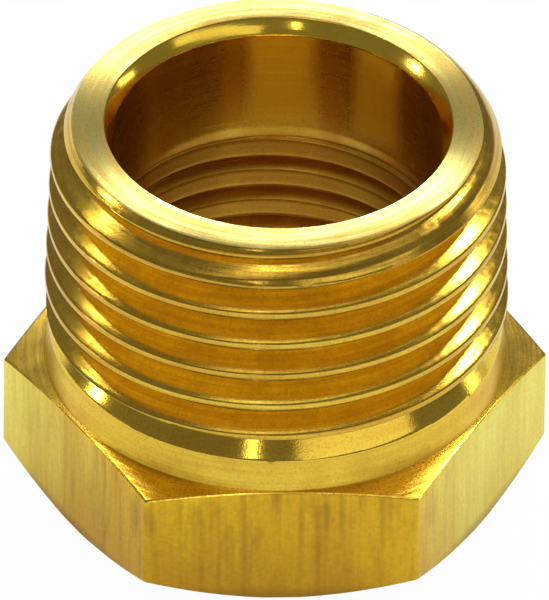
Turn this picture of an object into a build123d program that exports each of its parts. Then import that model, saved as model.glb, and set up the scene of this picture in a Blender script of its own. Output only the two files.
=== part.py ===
from build123d import *
import os
from math import atan, cos, degrees, floor, radians, tan

# Hexagon reducing bushing, turned from one length of drawn brass bar.
# A taper pipe thread is cut on the outside of the stem and a smaller one is tapped in
# the hexagon end. A plain bore joins the tapped hole to the mouth of the stem.
# Millimetres. Origin: centre of the hexagon's end face. +Z: up through the stem.
# Two corners of the hexagon point along +X and -X.

# Hexagon head
across_flats = 17.0
head_corner_height = 4.36        # from the end face to the top of a hexagon corner
corner_chamfer_diameter = 17.04  # where the corner chamfer meets the end face
corner_chamfer_angle = 30.0      # from the end face
shoulder_angle = 15.0            # fall of the turned top of the hexagon, out to its corners

# Collar between the hexagon and the thread
collar_foot_diameter = 16.72
collar_diameter = 16.34
collar_height = 1.20             # from the foot of the collar to its upper edge

# Stem
overall_height = 15.0
mouth_outer_diameter = 14.82     # outer edge of the flat rim
lead_chamfer_angle = 32.0        # of the thread's lead-in, from the axis

# Pipe threads, both of 55 degree form
threads_per_inch = 19
flank_angle = 27.5               # half the thread angle
taper = 1 / 16                   # on the diameter
male_end_diameter = 16.262       # over the crests, at the rim
male_crest_height = 7.17         # of the lowest whole crest, at the front
female_face_diameter = 13.157    # over the roots, at the end face
female_thread_length = 10.2
tap_lead_length = 1.5            # part of that length that fades out
female_thread_angle = 86.0       # direction in which the tapped thread starts

# Bore
bore_diameter = 11.8
mouth_chamfer_width = 0.37
mouth_chamfer_depth = 0.55
entry_chamfer_diameter = 13.9    # countersink of the tapped hole, at the end face

inch = 25.4
pitch = inch / threads_per_inch
sharp_depth = pitch / (2 * tan(radians(flank_angle)))
land = pitch / 6                 # width of a crest and of a root, along the axis
thread_depth = sharp_depth * 2 / 3
taper_angle = degrees(atan(taper / 2))
tool_overrun = 0.4               # how far a cutter reaches past the metal it cuts
flank_overrun = 0.1              # how far its flanks keep their slope past the crests
neck_relief = 0.03               # how much larger the run-out neck is than the groove

apothem = across_flats / 2
corner_radius = apothem / cos(radians(30))
collar_foot_radius = collar_foot_diameter / 2
collar_radius = collar_diameter / 2
bore_radius = bore_diameter / 2
shoulder_slope = tan(radians(shoulder_angle))
flank_slope = tan(radians(flank_angle))
collar_foot_height = head_corner_height + (corner_radius - collar_foot_radius) * shoulder_slope
collar_top_height = collar_foot_height + collar_height


def male_crest_radius(height):
    """Radius over the crests of the outside thread, at a height above the end face."""
    return male_end_diameter / 2 + (overall_height - height) * taper / 2


def female_root_radius(height):
    """Radius over the roots of the tapped thread, at a height above the end face."""
    return female_face_diameter / 2 - height * taper / 2


def groove_half_width(depth_left):
    """Half width of a thread groove, at a distance out from its floor."""
    return land / 2 + depth_left * flank_slope


def revolved(points):
    """Solid of revolution about Z from (radius, height) corners."""
    outline = Polyline([(radius, 0, height) for radius, height in points], close=True)
    return revolve(make_face(outline), Axis.Z)


def helical_cutter(floor_radius, start, stop, reach, taper_degrees):
    """Ridge of thread form that winds up from height start to height stop.

    floor_radius is the radius of the ridge's narrow side at height start. A positive
    reach builds the wide side outwards, for a thread cut on the outside of a stem, and
    a negative one builds it inwards, for a thread tapped in a hole.
    """
    path = Helix(pitch, stop - start, floor_radius, (0, 0, start), cone_angle=taper_degrees)
    flank_reach = thread_depth + flank_overrun
    flank_end = floor_radius + (flank_reach if reach > 0 else -flank_reach)
    wide = groove_half_width(flank_reach)
    corners = [
        (floor_radius, land / 2),
        (flank_end, wide),
        (floor_radius + reach, wide),
        (floor_radius + reach, -wide),
        (flank_end, -wide),
        (floor_radius, -land / 2),
    ]
    outline = Polyline([(radius, 0, start + offset) for radius, offset in corners], close=True)
    return sweep(make_face(outline), path, is_frenet=True)


def make_blank():
    """Head, collar, neck and tapered stem, before the threads and the bore."""
    hexagon = extrude(RegularPolygon(apothem, 6, major_radius=False), overall_height)
    chamfer_rise = tan(radians(corner_chamfer_angle))
    chamfer_radius = corner_chamfer_diameter / 2
    reach = corner_radius + tool_overrun
    neck_floor = male_crest_radius(collar_top_height) - thread_depth - neck_relief
    neck_low = collar_top_height + (collar_radius - neck_floor) * flank_slope
    neck_high = neck_low + land + 2 * neck_relief
    thread_start = neck_high + (thread_depth + neck_relief) * flank_slope
    lead_width = male_crest_radius(overall_height) - mouth_outer_diameter / 2
    lead_length = lead_width / (tan(radians(lead_chamfer_angle)) - taper / 2)
    thread_stop = overall_height - lead_length
    envelope = revolved([
        (0, 0),
        (chamfer_radius, 0),
        (reach, (reach - chamfer_radius) * chamfer_rise),
        (reach, head_corner_height - (reach - corner_radius) * shoulder_slope),
        (collar_foot_radius, collar_foot_height),
        (collar_radius, collar_top_height),
        (neck_floor, neck_low),
        (neck_floor, neck_high),
        (male_crest_radius(thread_start), thread_start),
        (male_crest_radius(thread_stop), thread_stop),
        (mouth_outer_diameter / 2, overall_height),
        (0, overall_height),
    ])
    return hexagon & envelope


def make_male_groove():
    """Helical groove of the outside thread, from the neck to beyond the rim."""
    neck_floor = male_crest_radius(collar_top_height) - thread_depth
    start = collar_top_height + (collar_radius - neck_floor) * flank_slope
    start += land / 2 + neck_relief
    stop = overall_height + pitch
    groove = helical_cutter(
        male_crest_radius(start) - thread_depth, start, stop,
        thread_depth + tool_overrun, -taper_angle,
    )
    # A groove centre lies half a pitch below the crest whose height is named above.
    turns = (start - male_crest_height + pitch / 2) / pitch
    front = -90
    return groove.rotate(Axis.Z, front + 360 * (turns - floor(turns)))


def make_bore():
    """Plain bore with its mouth chamfer, and the countersink of the tapped hole."""
    entry_depth = entry_chamfer_diameter / 2 - bore_radius
    return revolved([
        (0, -tool_overrun),
        (entry_chamfer_diameter / 2 + tool_overrun, -tool_overrun),
        (bore_radius, entry_depth),
        (bore_radius, overall_height - mouth_chamfer_depth),
        (bore_radius + mouth_chamfer_width, overall_height),
        (bore_radius + mouth_chamfer_width, overall_height + tool_overrun),
        (0, overall_height + tool_overrun),
    ])


def make_female_groove():
    """Helical groove of the tapped thread, which fades out as a tap's lead leaves it."""
    start = -pitch / 2
    floor_radius = female_root_radius(start)
    reach = -(floor_radius - bore_radius + tool_overrun)
    ridge = helical_cutter(floor_radius, start, female_thread_length, reach, -taper_angle)
    ridge = ridge.rotate(Axis.Z, female_thread_angle)
    lead_start = female_thread_length - tap_lead_length
    lead_slope = tap_lead_length / (female_root_radius(lead_start) - bore_radius)
    inner_radius = bore_radius - tool_overrun
    outer_radius = floor_radius + tool_overrun
    past_height = female_thread_length + pitch
    past_height += tool_overrun * lead_slope
    beyond_tap = revolved([
        (outer_radius, female_thread_length - (outer_radius - bore_radius) * lead_slope),
        (inner_radius, female_thread_length + tool_overrun * lead_slope),
        (inner_radius, past_height),
        (outer_radius, past_height),
    ])
    return ridge - beyond_tap.rotate(Axis.Z, female_thread_angle + 120)


def make_bushing():
    """The finished bushing."""
    body = make_blank() - make_bore()
    body = body - make_male_groove()
    return body - make_female_groove()


os.makedirs("parts", exist_ok=True)
bushing = make_bushing()
export_step(bushing, "parts/hex_bushing.step")
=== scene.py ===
import math

import bpy
import numpy as np
from mathutils import Matrix, Vector


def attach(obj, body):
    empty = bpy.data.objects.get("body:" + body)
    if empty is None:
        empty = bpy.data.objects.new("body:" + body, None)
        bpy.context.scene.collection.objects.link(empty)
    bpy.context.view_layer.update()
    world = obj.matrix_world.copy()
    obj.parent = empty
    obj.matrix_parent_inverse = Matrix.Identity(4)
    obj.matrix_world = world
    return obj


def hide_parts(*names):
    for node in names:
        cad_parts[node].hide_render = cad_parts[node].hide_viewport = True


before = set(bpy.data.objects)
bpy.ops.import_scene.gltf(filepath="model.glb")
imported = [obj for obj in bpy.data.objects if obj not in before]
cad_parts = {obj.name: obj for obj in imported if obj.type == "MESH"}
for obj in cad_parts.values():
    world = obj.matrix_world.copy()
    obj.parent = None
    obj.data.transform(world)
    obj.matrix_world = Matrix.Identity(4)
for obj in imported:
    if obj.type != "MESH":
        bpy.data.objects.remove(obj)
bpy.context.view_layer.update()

# The hexagon bushing as one detailed mesh in place of its CAD node, with the same
# dimensions, plus its materials, the floor, the lights and the camera.
# The mesh is built in millimetres and scaled to metres as its last step.
MM = 0.001

# ---------------------------------------------------------------- dimensions
across_flats = 17.0
head_corner_height = 4.36
corner_chamfer_diameter = 17.04
corner_chamfer_angle = 30.0
shoulder_angle = 15.0
collar_foot_diameter = 16.72
collar_diameter = 16.34
collar_height = 1.20
overall_height = 15.0
mouth_outer_diameter = 14.82
lead_chamfer_angle = 32.0
pitch = 25.4 / 19
flank_angle = 27.5
taper = 1 / 16
male_end_diameter = 16.262
male_crest_height = 7.17
female_face_diameter = 13.157
female_thread_length = 10.2
tap_lead_length = 1.5
female_thread_angle = 86.0
bore_diameter = 11.8
mouth_chamfer_width = 0.37
mouth_chamfer_depth = 0.55
entry_chamfer_diameter = 13.9

flank_slope = math.tan(math.radians(flank_angle))
land = pitch / 6
thread_depth = pitch / (2 * flank_slope) * 2 / 3
neck_relief = 0.03
apothem = across_flats / 2
corner_radius = apothem / math.cos(math.radians(30))
shoulder_slope = math.tan(math.radians(shoulder_angle))
chamfer_radius = corner_chamfer_diameter / 2
chamfer_rise = math.tan(math.radians(corner_chamfer_angle))
collar_foot_radius = collar_foot_diameter / 2
collar_radius = collar_diameter / 2
collar_foot_height = head_corner_height + (corner_radius - collar_foot_radius) * shoulder_slope
collar_top_height = collar_foot_height + collar_height
bore_radius = bore_diameter / 2
entry_radius = entry_chamfer_diameter / 2
entry_depth = entry_radius - bore_radius
mouth_radius = bore_radius + mouth_chamfer_width
mouth_height = overall_height - mouth_chamfer_depth

# Finish of the edges, in millimetres
corner_rounding = 0.16      # of the hexagon's upright corners
edge_rounding = 0.05        # of the turned edges
root_rounding = 0.030       # half length of the arc at a thread's root corners
meeting_rounding = 0.06     # where one turned surface cuts another, such as at a crest
overshoot = 0.15            # how far a thread's flanks go on past its crests
run_out_angle = 33.0        # of the burnished cone in the run-out groove, from the axis
run_out_height = 0.85       # of that cone, above the collar


# ---------------------------------------------------------------- profiles
def male_crest_radius(height):
    return male_end_diameter / 2 + (overall_height - height) * taper / 2


def female_root_radius(height):
    return female_face_diameter / 2 - height * taper / 2


def rounded_line(x, corners, half_width):
    """Value at x of the line through corners, with each corner rounded over half_width."""
    places = np.array([c[0] for c in corners])
    values = np.array([c[1] for c in corners])
    total = 0.0
    steps = np.linspace(-1, 1, 9)
    for step in steps:
        total = total + np.interp(x + step * half_width, places, values)
    return total / len(steps)


def soft_lower(a, b, width):
    """The lower of a and b, rounded where they cross."""
    near = np.maximum(width - np.abs(a - b), 0) / width
    return np.minimum(a, b) - near * near * width / 4


def groove_rise(distance):
    """Height of a thread's surface above its groove floor, at a distance along the axis
    from the middle of the groove."""
    half_floor = land / 2
    top = thread_depth + overshoot
    half_top = half_floor + top * flank_slope
    corners = [(-half_floor, 0), (half_floor, 0), (half_top, top), (pitch - half_top, top)]
    return rounded_line(np.abs(distance), corners, root_rounding)


neck_floor = male_crest_radius(collar_top_height) - thread_depth - neck_relief
neck_low = collar_top_height + (collar_radius - neck_floor) * flank_slope
neck_high = neck_low + land + 2 * neck_relief
thread_start = neck_high + (thread_depth + neck_relief) * flank_slope
lead_width = male_crest_radius(overall_height) - mouth_outer_diameter / 2
lead_length = lead_width / (math.tan(math.radians(lead_chamfer_angle)) - taper / 2)
thread_stop = overall_height - lead_length
lead_slope = lead_width / lead_length
groove_floor = male_crest_radius(collar_top_height) - thread_depth
groove_start = collar_top_height + (collar_radius - groove_floor) * flank_slope
groove_start += land / 2 + neck_relief
groove_turns = (groove_start - male_crest_height + pitch / 2) / pitch
groove_angle = math.radians(-90 + 360 * (groove_turns - math.floor(groove_turns)))


def stem_envelope(height):
    """Outside radius of the stem before its thread."""
    past = 1.0
    corners = [
        (collar_foot_height, collar_foot_radius),
        (collar_top_height, collar_radius),
        (neck_low, neck_floor),
        (neck_high, neck_floor),
        (thread_start, male_crest_radius(thread_start)),
        (thread_stop, male_crest_radius(thread_stop)),
        (overall_height, mouth_outer_diameter / 2),
        (overall_height + past, mouth_outer_diameter / 2 - past * lead_slope),
    ]
    return rounded_line(height, corners, edge_rounding)


def first_groove(angle):
    """Height of the middle of the outside thread's lowest groove, at each angle."""
    turn = (angle - groove_angle) / (2 * math.pi)
    return groove_start + pitch * (turn - np.floor(turn))


def stem_thread(angle, height):
    """Radius that the outside thread leaves, where nothing else cuts deeper."""
    away = height - first_groove(angle)
    from_groove = away - pitch * np.round(away / pitch)
    threaded = male_crest_radius(height) - thread_depth + groove_rise(from_groove)
    uncut = male_crest_radius(height) + overshoot
    return np.where(away < -pitch / 2, uncut, threaded)


def cut_radius(angle, height):
    """Outside radius of the stem after its thread is cut."""
    return soft_lower(stem_thread(angle, height), stem_envelope(height), meeting_rounding)


def run_out_cone(height):
    """Radius of the burnished cone that the die leaves in the groove above the collar."""
    depth = run_out_height * math.tan(math.radians(run_out_angle))
    corners = [
        (collar_top_height - 0.3, collar_radius - 1),
        (collar_top_height, collar_radius),
        (collar_top_height + run_out_height, collar_radius - depth),
        (collar_top_height + run_out_height + 0.2, collar_radius - 2),
    ]
    return np.interp(height, [c[0] for c in corners], [c[1] for c in corners])


def stem_radius(angle, height):
    """Outside radius of the threaded stem."""
    return np.maximum(cut_radius(angle, height), run_out_cone(height))


def plain_hole(height):
    """Radius of the countersink and the bore, before the tapped thread."""
    past = 1.0
    corners = [(-past, entry_radius + past), (entry_depth, bore_radius),
               (mouth_height, bore_radius)]
    return rounded_line(height, corners, edge_rounding)


def hole_thread(angle, height):
    """Radius that the tapped thread leaves in solid metal."""
    start_angle = math.radians(female_thread_angle)
    away = height + pitch / 2 - pitch * (angle - start_angle) / (2 * math.pi)
    from_groove = away - pitch * np.round(away / pitch)
    tapped = female_root_radius(height) - groove_rise(from_groove)
    lead_start = female_thread_length - tap_lead_length
    fade = (female_root_radius(lead_start) - bore_radius) / tap_lead_length
    tap = bore_radius + (female_thread_length - height) * fade
    return soft_lower(tapped, tap, meeting_rounding)


def hole_radius(angle, height):
    """Radius of the through hole, with its countersink and its tapped thread."""
    return -soft_lower(-hole_thread(angle, height), -plain_hole(height), meeting_rounding)


def crossings(first, second, low, high):
    """Heights between low and high at which two radii, functions of height, are equal."""
    heights = np.linspace(low, high, 3000)
    gap = first(heights) - second(heights)
    return [float(heights[k]) for k in np.nonzero(gap[:-1] * gap[1:] < 0)[0]]


# ---------------------------------------------------------------- columns and rows
def column_angles():
    """Angles of the mesh's columns, closer together at the hexagon's corners."""
    near = [0.0, 0.14, 0.28, 0.42, 0.62, 1.1]
    steps = list(near) + list(np.linspace(2.5, 30, 20))
    half = np.array(steps)
    one_corner = np.concatenate([-half[:0:-1], half[:-1]])
    angles = np.concatenate([one_corner + 60 * k for k in range(6)])
    return np.radians(np.sort(angles % 360))


def hexagon_radius(angle):
    """Radius of the hexagon at each angle, with its corners rounded."""
    from_flat = (angle - math.radians(30)) % math.radians(60)
    from_flat = np.minimum(from_flat, math.radians(60) - from_flat)
    sharp = apothem / np.cos(from_flat)
    # Rounded corner: a circle of corner_rounding touching both flats.
    centre = corner_radius - corner_rounding / math.cos(math.radians(30))
    from_corner = math.radians(30) - from_flat
    across = centre * np.sin(from_corner)
    inside = np.clip(corner_rounding ** 2 - across ** 2, 0, None)
    arc = centre * np.cos(from_corner) + np.sqrt(inside)
    touch = math.atan2(corner_rounding * math.sin(math.radians(30)),
                       centre + corner_rounding * math.cos(math.radians(30)))
    return np.where(from_corner < touch, arc, sharp)


angles = column_angles()
n_columns = len(angles)
hexagon = hexagon_radius(angles)


class Surface:
    """Vertices and faces of the bushing, in millimetres, built ring by ring."""

    def __init__(self):
        self.points = []
        self.faces = []
        self.marks = []
        self.count = 0

    def ring(self, radius, height):
        """Adds one ring of vertices and returns their numbers."""
        radius = np.broadcast_to(radius, angles.shape)
        height = np.broadcast_to(height, angles.shape)
        self.points.append(np.stack([radius * np.cos(angles), radius * np.sin(angles), height], 1))
        first = self.count
        self.count += n_columns
        return np.arange(first, first + n_columns)

    def band(self, low, high, mark):
        """Joins two rings by quads that face outwards when low is below high."""
        a, b = low, np.roll(low, -1)
        c, d = np.roll(high, -1), high
        for quad in zip(a.tolist(), b.tolist(), c.tolist(), d.tolist()):
            self.faces.append(quad)
            self.marks.append(mark)

    def bands(self, rings, marks):
        for low, high, mark in zip(rings[:-1], rings[1:], marks):
            self.band(low, high, mark)

    def helix(self, low_ring, low_height, high_ring, high_height, pattern, radius_at,
              middle_height, mark, kinks):
        """Fills the space between two level rings with rows that follow a thread.

        pattern holds the rows' places within one pitch, from 0 up to 1, measured from the
        middle of a groove. middle_height gives a groove's height at angle 0. kinks gives the
        heights, at each angle, of edges that don't follow the thread.
        """
        rows_per_turn = len(pattern)
        turn = angles / (2 * math.pi)
        first_turn = math.floor((low_height - middle_height) / pitch) - 2
        last_turn = math.ceil((high_height - middle_height) / pitch) + 1
        offsets = np.concatenate([np.array(pattern) + k for k in range(first_turn, last_turn + 1)])
        # One more column repeats column 0 a full turn on, where row m meets row m + one pitch.
        columns = np.append(angles, angles[0] + 2 * math.pi)
        turns = np.append(turn, turn[0] + 1)
        heights = middle_height + pitch * (offsets[:, None] + turns[None, :])
        gap = pitch / rows_per_turn
        for column, angle in enumerate(columns):
            self.snap(heights[:, column], kinks(angle), gap)
        # The repeated column takes the heights of column 0, one pitch down the rows.
        heights[:-rows_per_turn, -1] = heights[rows_per_turn:, 0]
        near = gap * 0.35
        heights = np.where(heights < low_height + near, low_height, heights)
        heights = np.where(heights > high_height - near, high_height, heights)
        radii = radius_at(columns[None, :], heights)
        numbers = np.full(heights.shape, -1)
        for row in range(len(offsets)):
            for column in range(n_columns):
                height = heights[row, column]
                if height <= low_height:
                    numbers[row, column] = low_ring[column]
                elif height >= high_height:
                    numbers[row, column] = high_ring[column]
                else:
                    radius = radii[row, column]
                    angle = columns[column]
                    self.points.append(np.array([[
                        radius * math.cos(angle), radius * math.sin(angle), height]]))
                    numbers[row, column] = self.count
                    self.count += 1
        numbers[:-rows_per_turn, -1] = numbers[rows_per_turn:, 0]
        numbers[-rows_per_turn:, -1] = high_ring[0]
        self.stitch(numbers, heights, radii, columns, radius_at, mark)

    def snap(self, column_heights, wanted, gap):
        """Moves the nearest row of one column onto each wanted height."""
        for height in wanted:
            nearest = int(np.argmin(np.abs(column_heights - height)))
            if abs(column_heights[nearest] - height) < gap:
                column_heights[nearest] = height

    def stitch(self, numbers, heights, radii, columns, radius_at, mark):
        """Turns a grid of vertex numbers into triangles, with each quad cut along the
        diagonal that lies closer to the surface."""
        x = radii * np.cos(columns)[None, :]
        y = radii * np.sin(columns)[None, :]
        place = np.stack([x, y, heights], 2)
        rising = (place[:-1, :-1] + place[1:, 1:]) / 2
        falling = (place[:-1, 1:] + place[1:, :-1]) / 2

        def error(middle):
            angle = (columns[None, :-1] + columns[None, 1:]) / 2
            true = radius_at(np.broadcast_to(angle, middle.shape[:2]), middle[:, :, 2])
            return np.abs(np.hypot(middle[:, :, 0], middle[:, :, 1]) - true)

        use_rising = error(rising) <= error(falling)
        for row in range(numbers.shape[0] - 1):
            for column in range(n_columns):
                a = int(numbers[row, column])
                b = int(numbers[row, column + 1])
                c = int(numbers[row + 1, column + 1])
                d = int(numbers[row + 1, column])
                if use_rising[row, column]:
                    pair = ((a, b, c), (a, c, d))
                else:
                    pair = ((a, b, d), (b, c, d))
                for triangle in pair:
                    if len(set(triangle)) == 3:
                        self.faces.append(triangle)
                        self.marks.append(mark)


def rounded_edge(before, corner, after, size):
    """Three (radius, height) pairs that round a corner of the profile, at every column."""
    def toward(start, end, wanted):
        run = np.hypot(end[0] - start[0], end[1] - start[1])
        share = np.minimum(wanted / np.maximum(run, 1e-9), 0.4)
        return (start[0] + (end[0] - start[0]) * share, start[1] + (end[1] - start[1]) * share)
    first = toward(corner, before, size)
    last = toward(corner, after, size)
    middle = tuple(f / 4 + c / 2 + s / 4 for f, c, s in zip(first, corner, last))
    return [first, middle, last]


def between(start, end, share):
    return (start[0] + (end[0] - start[0]) * share, start[1] + (end[1] - start[1]) * share)


END_FACE, FLAT, SHOULDER, COLLAR, THREAD, RIM, MOUTH, HOLE = range(8)


def flat_column(value):
    return np.full(n_columns, float(value))


def make_bushing_mesh():
    surface = Surface()

    # Profile corners of the head, from the countersink's edge out and up to the stem.
    hole_edge = (flat_column(entry_radius), flat_column(0))
    base_edge = (np.minimum(chamfer_radius, hexagon), flat_column(0))
    flat_foot = (hexagon, np.maximum(hexagon - chamfer_radius, 0) * chamfer_rise)
    flat_top = (hexagon, head_corner_height + (corner_radius - hexagon) * shoulder_slope)
    collar_foot = (flat_column(collar_foot_radius), flat_column(collar_foot_height))
    collar_top = (flat_column(collar_radius), flat_column(collar_top_height))

    rounded_foot = rounded_edge(base_edge, flat_foot, flat_top, 0.07)
    rounded_top = rounded_edge(flat_foot, flat_top, collar_foot, 0.09)
    rounded_collar = rounded_edge(
        collar_foot, collar_top,
        (flat_column(collar_radius - 1), flat_column(collar_top_height)), 0.04)

    profile = [
        (hole_edge, END_FACE),
        (between(hole_edge, base_edge, 0.08), END_FACE),
        (between(hole_edge, base_edge, 0.95), END_FACE),
        (base_edge, SHOULDER),
    ]
    profile += [(rounded_foot[0], FLAT), (rounded_foot[1], FLAT), (rounded_foot[2], FLAT)]
    profile += [(between(flat_foot, flat_top, 0.06), FLAT),
                (between(flat_foot, flat_top, 0.5), FLAT)]
    profile += [(between(flat_foot, flat_top, 0.94), FLAT)]
    profile += [(rounded_top[0], FLAT), (rounded_top[1], SHOULDER), (rounded_top[2], SHOULDER)]
    profile += [(between(rounded_top[2], collar_foot, 0.07), SHOULDER)]
    profile += [(between(flat_top, collar_foot, 0.9), SHOULDER), (collar_foot, COLLAR)]
    profile += [(between(collar_foot, collar_top, 0.15), COLLAR)]
    profile += [(between(collar_foot, collar_top, 0.85), COLLAR)]
    profile += [(rounded_collar[0], THREAD)]
    rings = [surface.ring(radius, height) for (radius, height), mark in profile]
    surface.bands(rings, [mark for pair, mark in profile[:-1]])
    stem_low_ring = rings[-1]

    # Rim, from the stem's outer edge in to the bore.
    edge = 0.05
    stem_top = overall_height - edge
    stem_high_ring = surface.ring(stem_radius(angles, flat_column(stem_top)), stem_top)
    outer = stem_radius(angles, flat_column(overall_height))
    rim_profile = [
        ((outer - edge * 0.25, flat_column(overall_height - edge * 0.22)), RIM),
        ((outer - edge * 0.9, flat_column(overall_height)), RIM),
        ((outer * 0.5 + mouth_radius * 0.5, flat_column(overall_height)), RIM),
        ((flat_column(mouth_radius + 0.05), flat_column(overall_height)), RIM),
        ((flat_column(mouth_radius + 0.008), flat_column(overall_height - 0.012)), MOUTH),
        ((flat_column(mouth_radius - 0.03), flat_column(overall_height - 0.06)), MOUTH),
        ((flat_column(bore_radius + 0.02), flat_column(mouth_height + 0.04)), MOUTH),
        ((flat_column(bore_radius), flat_column(mouth_height - 0.03)), HOLE),
    ]
    rim_rings = [stem_high_ring]
    rim_rings += [surface.ring(radius, height) for (radius, height), mark in rim_profile]
    surface.bands(rim_rings, [RIM] + [mark for pair, mark in rim_profile[:-1]])

    # The stem's thread. A row stands at each corner of its form, and between them.
    floor_half = land / 2 / pitch
    top_half = floor_half + thread_depth * flank_slope / pitch
    blur = root_rounding / pitch
    half_pattern = [
        0, floor_half - blur, floor_half, floor_half + blur, floor_half + 3 * blur,
        0.25, top_half - 3 * blur, top_half - blur, top_half, top_half + blur, 0.5,
    ]
    pattern = half_pattern + [1 - place for place in half_pattern[-2:0:-1]]
    angle_zero_groove = groove_start - pitch * groove_angle / (2 * math.pi)

    def stem_kinks(angle):
        """Heights where the stem's envelope has an edge, or crosses the thread."""
        found = [collar_top_height, neck_low, neck_high, thread_start, thread_stop]
        found += crossings(lambda h: stem_thread(angle, h), stem_envelope,
                           collar_top_height, overall_height)
        found += crossings(lambda h: cut_radius(angle, h), run_out_cone,
                           collar_top_height + 0.1, collar_top_height + 1.1)
        return found

    collar_edge = collar_top_height - 0.04
    surface.helix(stem_low_ring, collar_edge, stem_high_ring, stem_top, pattern,
                  stem_radius, angle_zero_groove, THREAD, stem_kinks)

    # The through hole, from the countersink's edge up to the bore's mouth.
    hole_half = [
        0, floor_half, floor_half + blur, 0.15, 0.2, 0.25, 0.3, 0.37, 0.44, 0.5,
    ]
    hole_pattern = hole_half + [1 - place for place in hole_half[-2:0:-1]]
    hole_top = 10.6
    hole_high_ring = surface.ring(bore_radius, hole_top)
    surface.band(rim_rings[-1], hole_high_ring, HOLE)
    hole_faces = len(surface.faces)
    female_zero = -pitch / 2 - pitch * math.radians(female_thread_angle) / (2 * math.pi)

    def hole_kinks(angle):
        """Heights where the tapped thread comes out of the countersink or the bore."""
        found = [entry_depth]
        found += crossings(lambda h: hole_thread(angle, h), plain_hole, 0, hole_top)
        return found

    surface.helix(rings[0], 0.0, hole_high_ring, hole_top, hole_pattern,
                  hole_radius, female_zero, HOLE, hole_kinks)
    for k in range(hole_faces, len(surface.faces)):
        surface.faces[k] = tuple(reversed(surface.faces[k]))

    points = np.concatenate(surface.points) * MM
    mesh = bpy.data.meshes.new("hex_bushing_detail")
    mesh.from_pydata(points.tolist(), [], surface.faces)
    mesh.validate()
    return mesh, surface.marks


mesh, marks = make_bushing_mesh()
bushing = bpy.data.objects.new("hex_bushing_detail", mesh)
bpy.context.scene.collection.objects.link(bushing)


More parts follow.
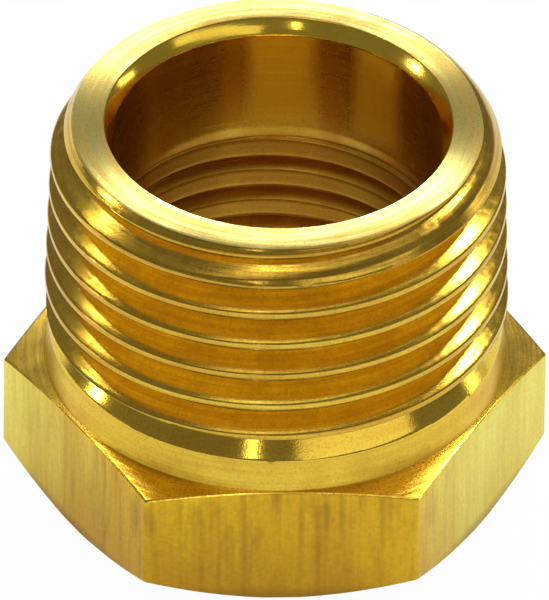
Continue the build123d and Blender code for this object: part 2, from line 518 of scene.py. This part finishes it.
# ---------------------------------------------------------------- materials
class Shading:
    """A brass material's node tree, with coordinates in millimetres."""

    def __init__(self, name, colour, roughness, anisotropy=0.0):
        self.material = bpy.data.materials.new(name)
        self.material.use_nodes = True
        self.nodes = self.material.node_tree.nodes
        self.links = self.material.node_tree.links
        self.shader = self.nodes["Principled BSDF"]
        self.shader.inputs["Base Color"].default_value = (*colour, 1)
        self.shader.inputs["Metallic"].default_value = 1.0
        self.shader.inputs["Roughness"].default_value = roughness
        self.shader.inputs["Anisotropic"].default_value = anisotropy
        self.colour = colour
        self.roughness = roughness
        place = self.nodes.new("ShaderNodeTexCoord").outputs["Object"]
        scaled = self.vector("SCALE", place, scale=1 / MM)
        self.place = scaled
        split = self.nodes.new("ShaderNodeSeparateXYZ")
        self.links.new(scaled, split.inputs[0])
        self.x, self.y, self.z = split.outputs
        across = self.math("ADD", self.times(self.x, self.x), self.times(self.y, self.y))
        self.radius = self.math("SQRT", across)

    def feed(self, socket, value):
        if isinstance(value, (int, float)):
            socket.default_value = value
        else:
            self.links.new(value, socket)

    def math(self, operation, first, second=0.0):
        node = self.nodes.new("ShaderNodeMath")
        node.operation = operation
        self.feed(node.inputs[0], first)
        self.feed(node.inputs[1], second)
        return node.outputs[0]

    def vector(self, operation, first, scale=1.0):
        node = self.nodes.new("ShaderNodeVectorMath")
        node.operation = operation
        self.links.new(first, node.inputs[0])
        node.inputs["Scale"].default_value = scale
        return node.outputs[0]

    def times(self, *factors):
        """Product of masks and plain numbers."""
        product = factors[0]
        for factor in factors[1:]:
            product = self.math("MULTIPLY", product, factor)
        return product

    def combine(self, x, y, z):
        node = self.nodes.new("ShaderNodeCombineXYZ")
        for socket, value in zip(node.inputs, (x, y, z)):
            self.feed(socket, value)
        return node.outputs[0]

    def ring_place(self, turn, axial, radial):
        """Coordinates for marks that run round the axis. turn is small for long marks."""
        cosine = self.math("DIVIDE", self.x, self.radius)
        sine = self.math("DIVIDE", self.y, self.radius)
        level = self.math("ADD", self.times(self.z, axial), self.times(self.radius, radial))
        return self.combine(self.times(cosine, turn), self.times(sine, turn), level)

    def upright_place(self, across, along):
        """Coordinates for marks that run parallel to the axis."""
        return self.combine(
            self.times(self.x, across), self.times(self.y, across), self.times(self.z, along))

    def noise(self, place, scale=1.0, detail=2.0, low=0.0, high=1.0):
        """Noise at a place, stretched so that low..high becomes 0..1."""
        node = self.nodes.new("ShaderNodeTexNoise")
        self.links.new(place, node.inputs["Vector"])
        node.inputs["Scale"].default_value = scale
        node.inputs["Detail"].default_value = detail
        return self.stretch(node.outputs[0], low, high)

    def stretch(self, value, low, high, start=0.0, end=1.0):
        node = self.nodes.new("ShaderNodeMapRange")
        self.feed(node.inputs["Value"], value)
        node.inputs["From Min"].default_value = low
        node.inputs["From Max"].default_value = high
        node.inputs["To Min"].default_value = start
        node.inputs["To Max"].default_value = end
        return node.outputs[0]

    def blend_colours(self, share, first, second):
        node = self.nodes.new("ShaderNodeMix")
        node.data_type = "RGBA"
        self.feed(node.inputs["Factor"], share)
        for socket, value in ((node.inputs[6], first), (node.inputs[7], second)):
            if isinstance(value, tuple):
                socket.default_value = (*value, 1)
            else:
                self.links.new(value, socket)
        return node.outputs[2]

    def tint(self, *layers):
        """Lays colours over the base colour, each by its own mask."""
        colour = self.colour
        for mask, over in layers:
            colour = self.blend_colours(mask, colour, over)
        self.links.new(colour, self.shader.inputs["Base Color"])

    def polish(self, *layers):
        """Adds to the roughness a share of each mask."""
        total = self.roughness
        for mask, amount in layers:
            total = self.math("ADD", total, self.times(mask, amount))
        self.links.new(total, self.shader.inputs["Roughness"])

    def emboss(self, *layers):
        """Bump from height layers, each with its depth in millimetres."""
        normal = None
        for height, depth in layers:
            node = self.nodes.new("ShaderNodeBump")
            node.inputs["Strength"].default_value = 1.0
            node.inputs["Distance"].default_value = depth * MM
            self.links.new(height, node.inputs["Height"])
            if normal is not None:
                self.links.new(normal, node.inputs["Normal"])
            normal = node.outputs[0]
        self.links.new(normal, self.shader.inputs["Normal"])

    def turn_grain(self):
        """Points the stretched highlights round the axis, as on a turned surface."""
        node = self.nodes.new("ShaderNodeTangent")
        node.direction_type = "RADIAL"
        node.axis = "Z"
        self.links.new(node.outputs[0], self.shader.inputs["Tangent"])
        self.shader.inputs["Anisotropic Rotation"].default_value = 0.25


brass_colour = (0.87, 0.62, 0.068)
deep_colour = (0.70, 0.36, 0.03)
# Used both for real stains and for painted shade.
stain_and_shade_colour = (0.34, 0.17, 0.03)
# Colour of the painted highlight on the side flats.
painted_highlight_colour = (0.92, 0.83, 0.14)
# Paler than the brass: a painted highlight that whitens the rim.
rim_painted_highlight_colour = (0.92, 0.80, 0.24)
flat_colour = (0.88, 0.59, 0.025)
# Brighter than the brass: painted light that lifts the bore.
hole_colour = (0.95, 0.68, 0.065)
# Colour of the painted highlight streaks in the bore.
painted_streak_colour = (0.99, 0.60, 0.02)


def drawn_flat():
    """Flats of the drawn bar: satin, with streaks and stains along the bar, a painted highlight on
    the side flats and painted shade towards the bottom.
    """
    s = Shading("brass_drawn_flat", flat_colour, 0.33)
    broad = s.noise(s.upright_place(0.55, 0.10), detail=2, low=0.40, high=0.64)
    streaks = s.noise(s.upright_place(2.6, 0.16), detail=3, low=0.48, high=0.74)
    fine = s.noise(s.upright_place(11, 0.5), detail=2, low=0.30, high=0.70)
    blotches = s.noise(s.upright_place(1.3, 0.45), detail=3, low=0.52, high=0.72)
    speckle = s.noise(s.place, scale=7, detail=4, low=0.38, high=0.80)
    # Painted highlight: the side flats, the right ones more than the left, are tinted paler.
    painted_highlight_side = s.math("MAXIMUM", s.stretch(s.x, 4.5, 6.5), s.stretch(s.x, -6.0, -9.0))

    def on_flats(front, side):
        """Share of a mark on the front and back flats, and on the side flats that carry the
        painted highlight.
        """
        return s.stretch(painted_highlight_side, 0, 1, front, side)

    s.tint((painted_highlight_side, painted_highlight_colour),
           (s.times(broad, on_flats(0.75, 0.15)), deep_colour),
           (s.times(streaks, on_flats(0.60, 0.15)), stain_and_shade_colour),
           (s.times(fine, on_flats(0.35, 0.12)), deep_colour),
           (s.times(blotches, on_flats(0.45, 0.10)), stain_and_shade_colour),
           # Painted shade: the flats darken towards the bottom, the front and back ones most.
           (s.times(s.stretch(s.z, 3.8, 0.2), on_flats(0.55, 0.20)), deep_colour),
           (s.times(s.stretch(s.z, 0.55, 0.12), 0.55), stain_and_shade_colour),
           (s.times(speckle, on_flats(0.30, 0.18)), stain_and_shade_colour))
    s.polish((fine, 0.10), (broad, 0.06))
    s.emboss((fine, 0.0016), (s.noise(s.place, scale=14, detail=3), 0.0030))
    return s.material


def turned(name, colour, roughness, ring_depth, axial, radial, stain=0.3, blur=0.20,
           anisotropy=0.0, grain=0.002):
    """Turned surface with tool rings that run round the axis. A small blur makes them crisp."""
    s = Shading(name, colour, roughness, anisotropy)
    rings = s.noise(s.ring_place(1.2, axial, radial), detail=3, low=0.5 - blur, high=0.5 + blur)
    wide = s.noise(s.ring_place(1.6, axial * 0.3, radial * 0.3), detail=2, low=0.35, high=0.70)
    patches = s.noise(s.place, scale=0.9, detail=3, low=0.45, high=0.75)
    speckle = s.noise(s.place, scale=12, detail=3, low=0.50, high=0.76)
    s.tint((s.times(patches, 0.4), deep_colour),
           (s.times(rings, stain), deep_colour),
           (s.times(speckle, stain), stain_and_shade_colour))
    s.polish((rings, 0.08), (patches, 0.06))
    s.emboss((rings, ring_depth), (wide, ring_depth * 2),
             (s.noise(s.place, scale=14, detail=3), grain))
    if anisotropy:
        s.turn_grain()
    return s.material


def thread_finish():
    """Thread flanks: rings round the axis, with short darker marks across them."""
    s = Shading("brass_thread", brass_colour, 0.115)
    polished = s.stretch(s.z, collar_top_height + 0.80, collar_top_height + 0.72)
    cut = s.math("SUBTRACT", 1.0, polished)
    rings = s.noise(s.ring_place(1.5, 5, 11), detail=3, low=0.32, high=0.68)
    bands = s.noise(s.ring_place(0.8, 1.8, 4), detail=2, low=0.35, high=0.68)
    lead = s.stretch(s.z, thread_stop - 0.2, thread_stop)
    lines = s.noise(s.ring_place(1.0, 7, 0), detail=2, low=0.42, high=0.60)
    lines = s.times(lines, lead)
    torn = s.noise(s.upright_place(3.4, 0.7), detail=3, low=0.35, high=0.72)
    patches = s.noise(s.place, scale=0.7, detail=3, low=0.42, high=0.72)
    speckle = s.noise(s.place, scale=12, detail=3, low=0.50, high=0.76)
    s.tint((s.times(torn, 0.25, cut), deep_colour),
           (s.times(bands, 0.25, cut), stain_and_shade_colour),
           (s.times(rings, 0.55), deep_colour),
           (s.times(rings, 0.20, cut), stain_and_shade_colour),
           (s.times(lines, 0.45), stain_and_shade_colour),
           (s.times(patches, 0.22, cut), stain_and_shade_colour),
           (s.times(speckle, 0.45), stain_and_shade_colour))
    s.polish((s.times(torn, cut), 0.10), (s.times(rings, cut), 0.08))
    s.emboss((rings, 0.0018), (lines, 0.0018), (s.noise(s.place, scale=14, detail=3), 0.0022))
    return s.material


def hole_finish():
    """Reamed bore and tapped thread, with drag marks, painted shade on the left and right walls
    and down the tapped thread, and two painted highlight streaks above the thread.
    """
    s = Shading("brass_hole", hole_colour, 0.19)
    rings = s.noise(s.ring_place(1.2, 5, 5), detail=3, low=0.30, high=0.70)
    drag = s.noise(s.upright_place(0.75, 0.05), detail=1, low=0.30, high=0.60)
    # Painted highlight: two bright upright streaks on the bore above the thread.
    painted_streaks = 0
    for middle, half in ((0.3, 1.1), (3.7, 0.75)):
        away = s.math("ABSOLUTE", s.math("SUBTRACT", s.x, middle))
        painted_streaks = s.math("MAXIMUM", painted_streaks, s.stretch(away, half * 1.3, half * 0.6))
    above_thread = s.stretch(s.z, female_thread_length, female_thread_length + 0.8)
    painted_streaks = s.times(painted_streaks, above_thread)
    drag = s.times(drag, s.math("SUBTRACT", 1, painted_streaks))
    speckle = s.noise(s.place, scale=12, detail=3, low=0.50, high=0.76)
    # Painted shade: the bore darkens towards its left and right walls, except in the painted
    # streaks.
    painted_shade_walls = s.stretch(s.math("ABSOLUTE", s.x), 4.3, 5.5)
    # Painted shade: the tapped thread, deeper in the hole, is tinted darker; the same mask makes
    # it rougher.
    tapped = s.stretch(s.z, female_thread_length + 0.3, female_thread_length - 0.8)
    s.tint((s.times(drag, 0.9), deep_colour),
           (s.times(painted_streaks, 0.8), painted_streak_colour),
           (s.times(rings, 0.2), deep_colour),
           (s.times(tapped, 0.7), deep_colour),
           (s.times(tapped, 0.22), stain_and_shade_colour),
           (s.times(painted_shade_walls, s.stretch(painted_streaks, 0, 1, 0.75, 0)), stain_and_shade_colour),
           (s.times(speckle, s.stretch(painted_streaks, 0, 1, 0.5, 0.15)), stain_and_shade_colour))
    s.polish((rings, 0.08), (drag, 0.06), (tapped, 0.14), (painted_streaks, 0.34))
    s.emboss((rings, 0.0012), (s.noise(s.place, scale=14, detail=3), 0.002))
    return s.material


finishes = {
    END_FACE: turned("brass_end_face", brass_colour, 0.26, 0.0020, 6, 9),
    FLAT: drawn_flat(),
    # Real tool rings and specks, laid on heavily as painted shade that darkens the ledges.
    SHOULDER: turned("brass_shoulder", brass_colour, 0.17, 0.0016, 3, 9, stain=0.75),
    COLLAR: turned("brass_collar", brass_colour, 0.33, 0.0012, 9, 3, stain=0.35),
    THREAD: thread_finish(),
    RIM: turned("brass_rim", rim_painted_highlight_colour, 0.36, 0.0035, 3, 5, stain=0.48, blur=0.08,
                anisotropy=0.97, grain=0.001),
    MOUTH: turned("brass_mouth", brass_colour, 0.09, 0.0008, 6, 6, stain=0.15, grain=0.001),
    HOLE: hole_finish(),
}
sharp_edge_angle = 38
for material in finishes.values():
    mesh.materials.append(material)
mesh.polygons.foreach_set("material_index", np.array(marks, dtype=np.int32))
for polygon in mesh.polygons:
    polygon.use_smooth = True
mesh.set_sharp_from_angle(angle=math.radians(sharp_edge_angle))
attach(bushing, "root")
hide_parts("hex_bushing")


# ---------------------------------------------------------------- camera
def place_camera(elevation, azimuth, roll, distance, focal_pixels, target):
    """Looks at target from azimuth and elevation, with focal length in photograph pixels."""
    camera_data = bpy.data.cameras.new("camera")
    camera = bpy.data.objects.new("camera", camera_data)
    bpy.context.scene.collection.objects.link(camera)
    e, a, q = math.radians(elevation), math.radians(azimuth), math.radians(roll)
    back = Vector((math.sin(a) * math.cos(e), -math.cos(a) * math.cos(e), math.sin(e)))
    right = Vector((0, 0, 1)).cross(back).normalized()
    up = back.cross(right)
    rolled_right = right * math.cos(q) + up * math.sin(q)
    rolled_up = up * math.cos(q) - right * math.sin(q)
    turn = Matrix((rolled_right, rolled_up, back)).transposed().to_4x4()
    camera.matrix_world = Matrix.Translation(Vector(target) + back * distance) @ turn
    camera_data.sensor_fit = "HORIZONTAL"
    camera_data.sensor_width = 36.0
    camera_data.lens = focal_pixels * camera_data.sensor_width / photo_width
    camera_data.clip_start = 0.01
    camera_data.clip_end = 20.0
    return camera


photo_width = 549
bpy.context.scene.camera = place_camera(
    elevation=37.57, azimuth=-2.249, roll=0.857, distance=0.85, focal_pixels=23584.8,
    target=(-0.0000519, 0, 0.0069462))


# ---------------------------------------------------------------- floor
def link_object(name, data):
    made = bpy.data.objects.new(name, data)
    bpy.context.scene.collection.objects.link(made)
    return made


floor_half = 2.0
floor_mesh = bpy.data.meshes.new("floor")
floor_corners = [(-floor_half, -floor_half, 0), (floor_half, -floor_half, 0),
                 (floor_half, floor_half, 0), (-floor_half, floor_half, 0)]
floor_mesh.from_pydata(floor_corners, [], [(0, 1, 2, 3)])
link_object("floor", floor_mesh)


def mirrored_ray(nodes, links, path):
    """1 for rays that reach the backdrop through metal or glass, otherwise 0."""
    mirrored = nodes.new("ShaderNodeMath")
    mirrored.operation = "MAXIMUM"
    links.new(path.outputs["Is Glossy Ray"], mirrored.inputs[0])
    links.new(path.outputs["Is Transmission Ray"], mirrored.inputs[1])
    return mirrored.outputs[0]


def white_paper(camera_share, near_share, far_share, near, far, shade_centre):
    """Pale paper that shows as plain white to the camera and, in part, to reflections.

    The shares are how much of the paper's look is plain white; the rest is lit by the
    lamps and keeps the bushing's shadow. For reflections the share grows from
    near_share to far_share between two distances, in metres, from the middle of the
    shade that the bushing casts."""
    material = bpy.data.materials.new("white_paper")
    material.use_nodes = True
    nodes = material.node_tree.nodes
    links = material.node_tree.links
    paper = nodes["Principled BSDF"]
    paper.inputs["Base Color"].default_value = (0.82, 0.82, 0.82, 1)
    paper.inputs["Roughness"].default_value = 0.9
    paper.inputs["Specular IOR Level"].default_value = 0.2
    path = nodes.new("ShaderNodeLightPath")
    white = nodes.new("ShaderNodeEmission")
    white.inputs["Color"].default_value = (1, 1, 1, 1)
    white.inputs["Strength"].default_value = 1.0
    camera_part = nodes.new("ShaderNodeMath")
    camera_part.operation = "MULTIPLY"
    camera_part.inputs[1].default_value = camera_share
    links.new(path.outputs["Is Camera Ray"], camera_part.inputs[0])
    distance = nodes.new("ShaderNodeVectorMath")
    distance.operation = "DISTANCE"
    distance.inputs[1].default_value = shade_centre
    links.new(nodes.new("ShaderNodeTexCoord").outputs["Object"], distance.inputs[0])
    open_paper = nodes.new("ShaderNodeMapRange")
    open_paper.inputs["From Min"].default_value = near
    open_paper.inputs["From Max"].default_value = far
    open_paper.inputs["To Min"].default_value = near_share
    open_paper.inputs["To Max"].default_value = far_share
    links.new(distance.outputs["Value"], open_paper.inputs["Value"])
    share = nodes.new("ShaderNodeMath")
    share.operation = "MULTIPLY_ADD"
    links.new(mirrored_ray(nodes, links, path), share.inputs[0])
    links.new(open_paper.outputs[0], share.inputs[1])
    links.new(camera_part.outputs[0], share.inputs[2])
    mix = nodes.new("ShaderNodeMixShader")
    links.new(share.outputs[0], mix.inputs[0])
    links.new(paper.outputs[0], mix.inputs[1])
    links.new(white.outputs[0], mix.inputs[2])
    links.new(mix.outputs[0], nodes["Material Output"].inputs["Surface"])
    return material


floor_mesh.materials.append(white_paper(
    camera_share=0.97, near_share=0.48, far_share=0.92, near=0.008, far=0.017,
    shade_centre=(-0.003, -0.003, 0)))


# ---------------------------------------------------------------- world and lamps
def studio_world(room_colour, room_strength, mirrored_share):
    """A dim plain room that lights the bushing, with a white backdrop.

    The camera sees the backdrop alone; reflections see mirrored_share of it."""
    world = bpy.data.worlds.new("studio")
    bpy.context.scene.world = world
    world.use_nodes = True
    nodes = world.node_tree.nodes
    links = world.node_tree.links
    room = nodes["Background"]
    room.inputs["Color"].default_value = (*room_colour, 1)
    room.inputs["Strength"].default_value = room_strength
    backdrop = nodes.new("ShaderNodeBackground")
    backdrop.inputs["Color"].default_value = (1, 1, 1, 1)
    backdrop.inputs["Strength"].default_value = 1.0
    path = nodes.new("ShaderNodeLightPath")
    share = nodes.new("ShaderNodeMath")
    share.operation = "MULTIPLY_ADD"
    share.inputs[1].default_value = mirrored_share
    links.new(mirrored_ray(nodes, links, path), share.inputs[0])
    links.new(path.outputs["Is Camera Ray"], share.inputs[2])
    mix = nodes.new("ShaderNodeMixShader")
    links.new(share.outputs[0], mix.inputs[0])
    links.new(room.outputs[0], mix.inputs[1])
    links.new(backdrop.outputs[0], mix.inputs[2])
    links.new(mix.outputs[0], nodes["World Output"].inputs["Surface"])


studio_world((1.0, 0.97, 0.92), 0.14, mirrored_share=0.08)


def softbox(name, toward, distance, width, height, brightness):
    """Rectangular lamp in a direction from the bushing. Brightness 1 reflects as white."""
    lamp = bpy.data.lights.new(name, "AREA")
    lamp.shape = "RECTANGLE"
    lamp.size = width
    lamp.size_y = height
    lamp.energy = brightness * math.pi * width * height
    holder = link_object(name, lamp)
    direction = Vector(toward).normalized()
    holder.location = Vector((0, 0, lamp_aim_height)) + direction * distance
    holder.rotation_euler = (-direction).to_track_quat("-Z", "Y").to_euler()


lamp_aim_height = 0.008
lamp_distance = 0.5
softbox("lamp_right_back", (0.57, 0.375, 0.72), lamp_distance, 0.05, 0.055, 70)
softbox("lamp_left_back", (-0.55, 0.42, 0.72), lamp_distance, 0.03, 0.05, 14)
softbox("lamp_overhead", (0.03, -0.04, 1.0), lamp_distance, 0.50, 0.16, 0.9)
softbox("lamp_over_left", (-0.06, -0.04, 1.0), lamp_distance * 0.9, 0.02, 0.08, 6)
softbox("lamp_top_right", (0.28, 0.46, 0.84), lamp_distance, 0.09, 0.10, 9)
softbox("lamp_top_left", (-0.27, 0.47, 0.85), lamp_distance, 0.08, 0.10, 11)
softbox("lamp_low_back", (0.0, 0.95, 0.26), lamp_distance, 0.22, 0.12, 30)
softbox("lamp_front_right", (0.57, -0.71, 0.41), lamp_distance, 0.50, 0.12, 0.9)
softbox("lamp_front_left", (-0.19, -0.85, 0.48), lamp_distance, 0.025, 0.08, 6)
softbox("window_left", (-0.97, 0.10, 0.20), lamp_distance, 0.06, 0.06, 20)
softbox("window_right", (0.93, 0.30, 0.10), lamp_distance, 0.12, 0.06, 2.5)

bpy.context.scene.view_settings.view_transform = "Standard"
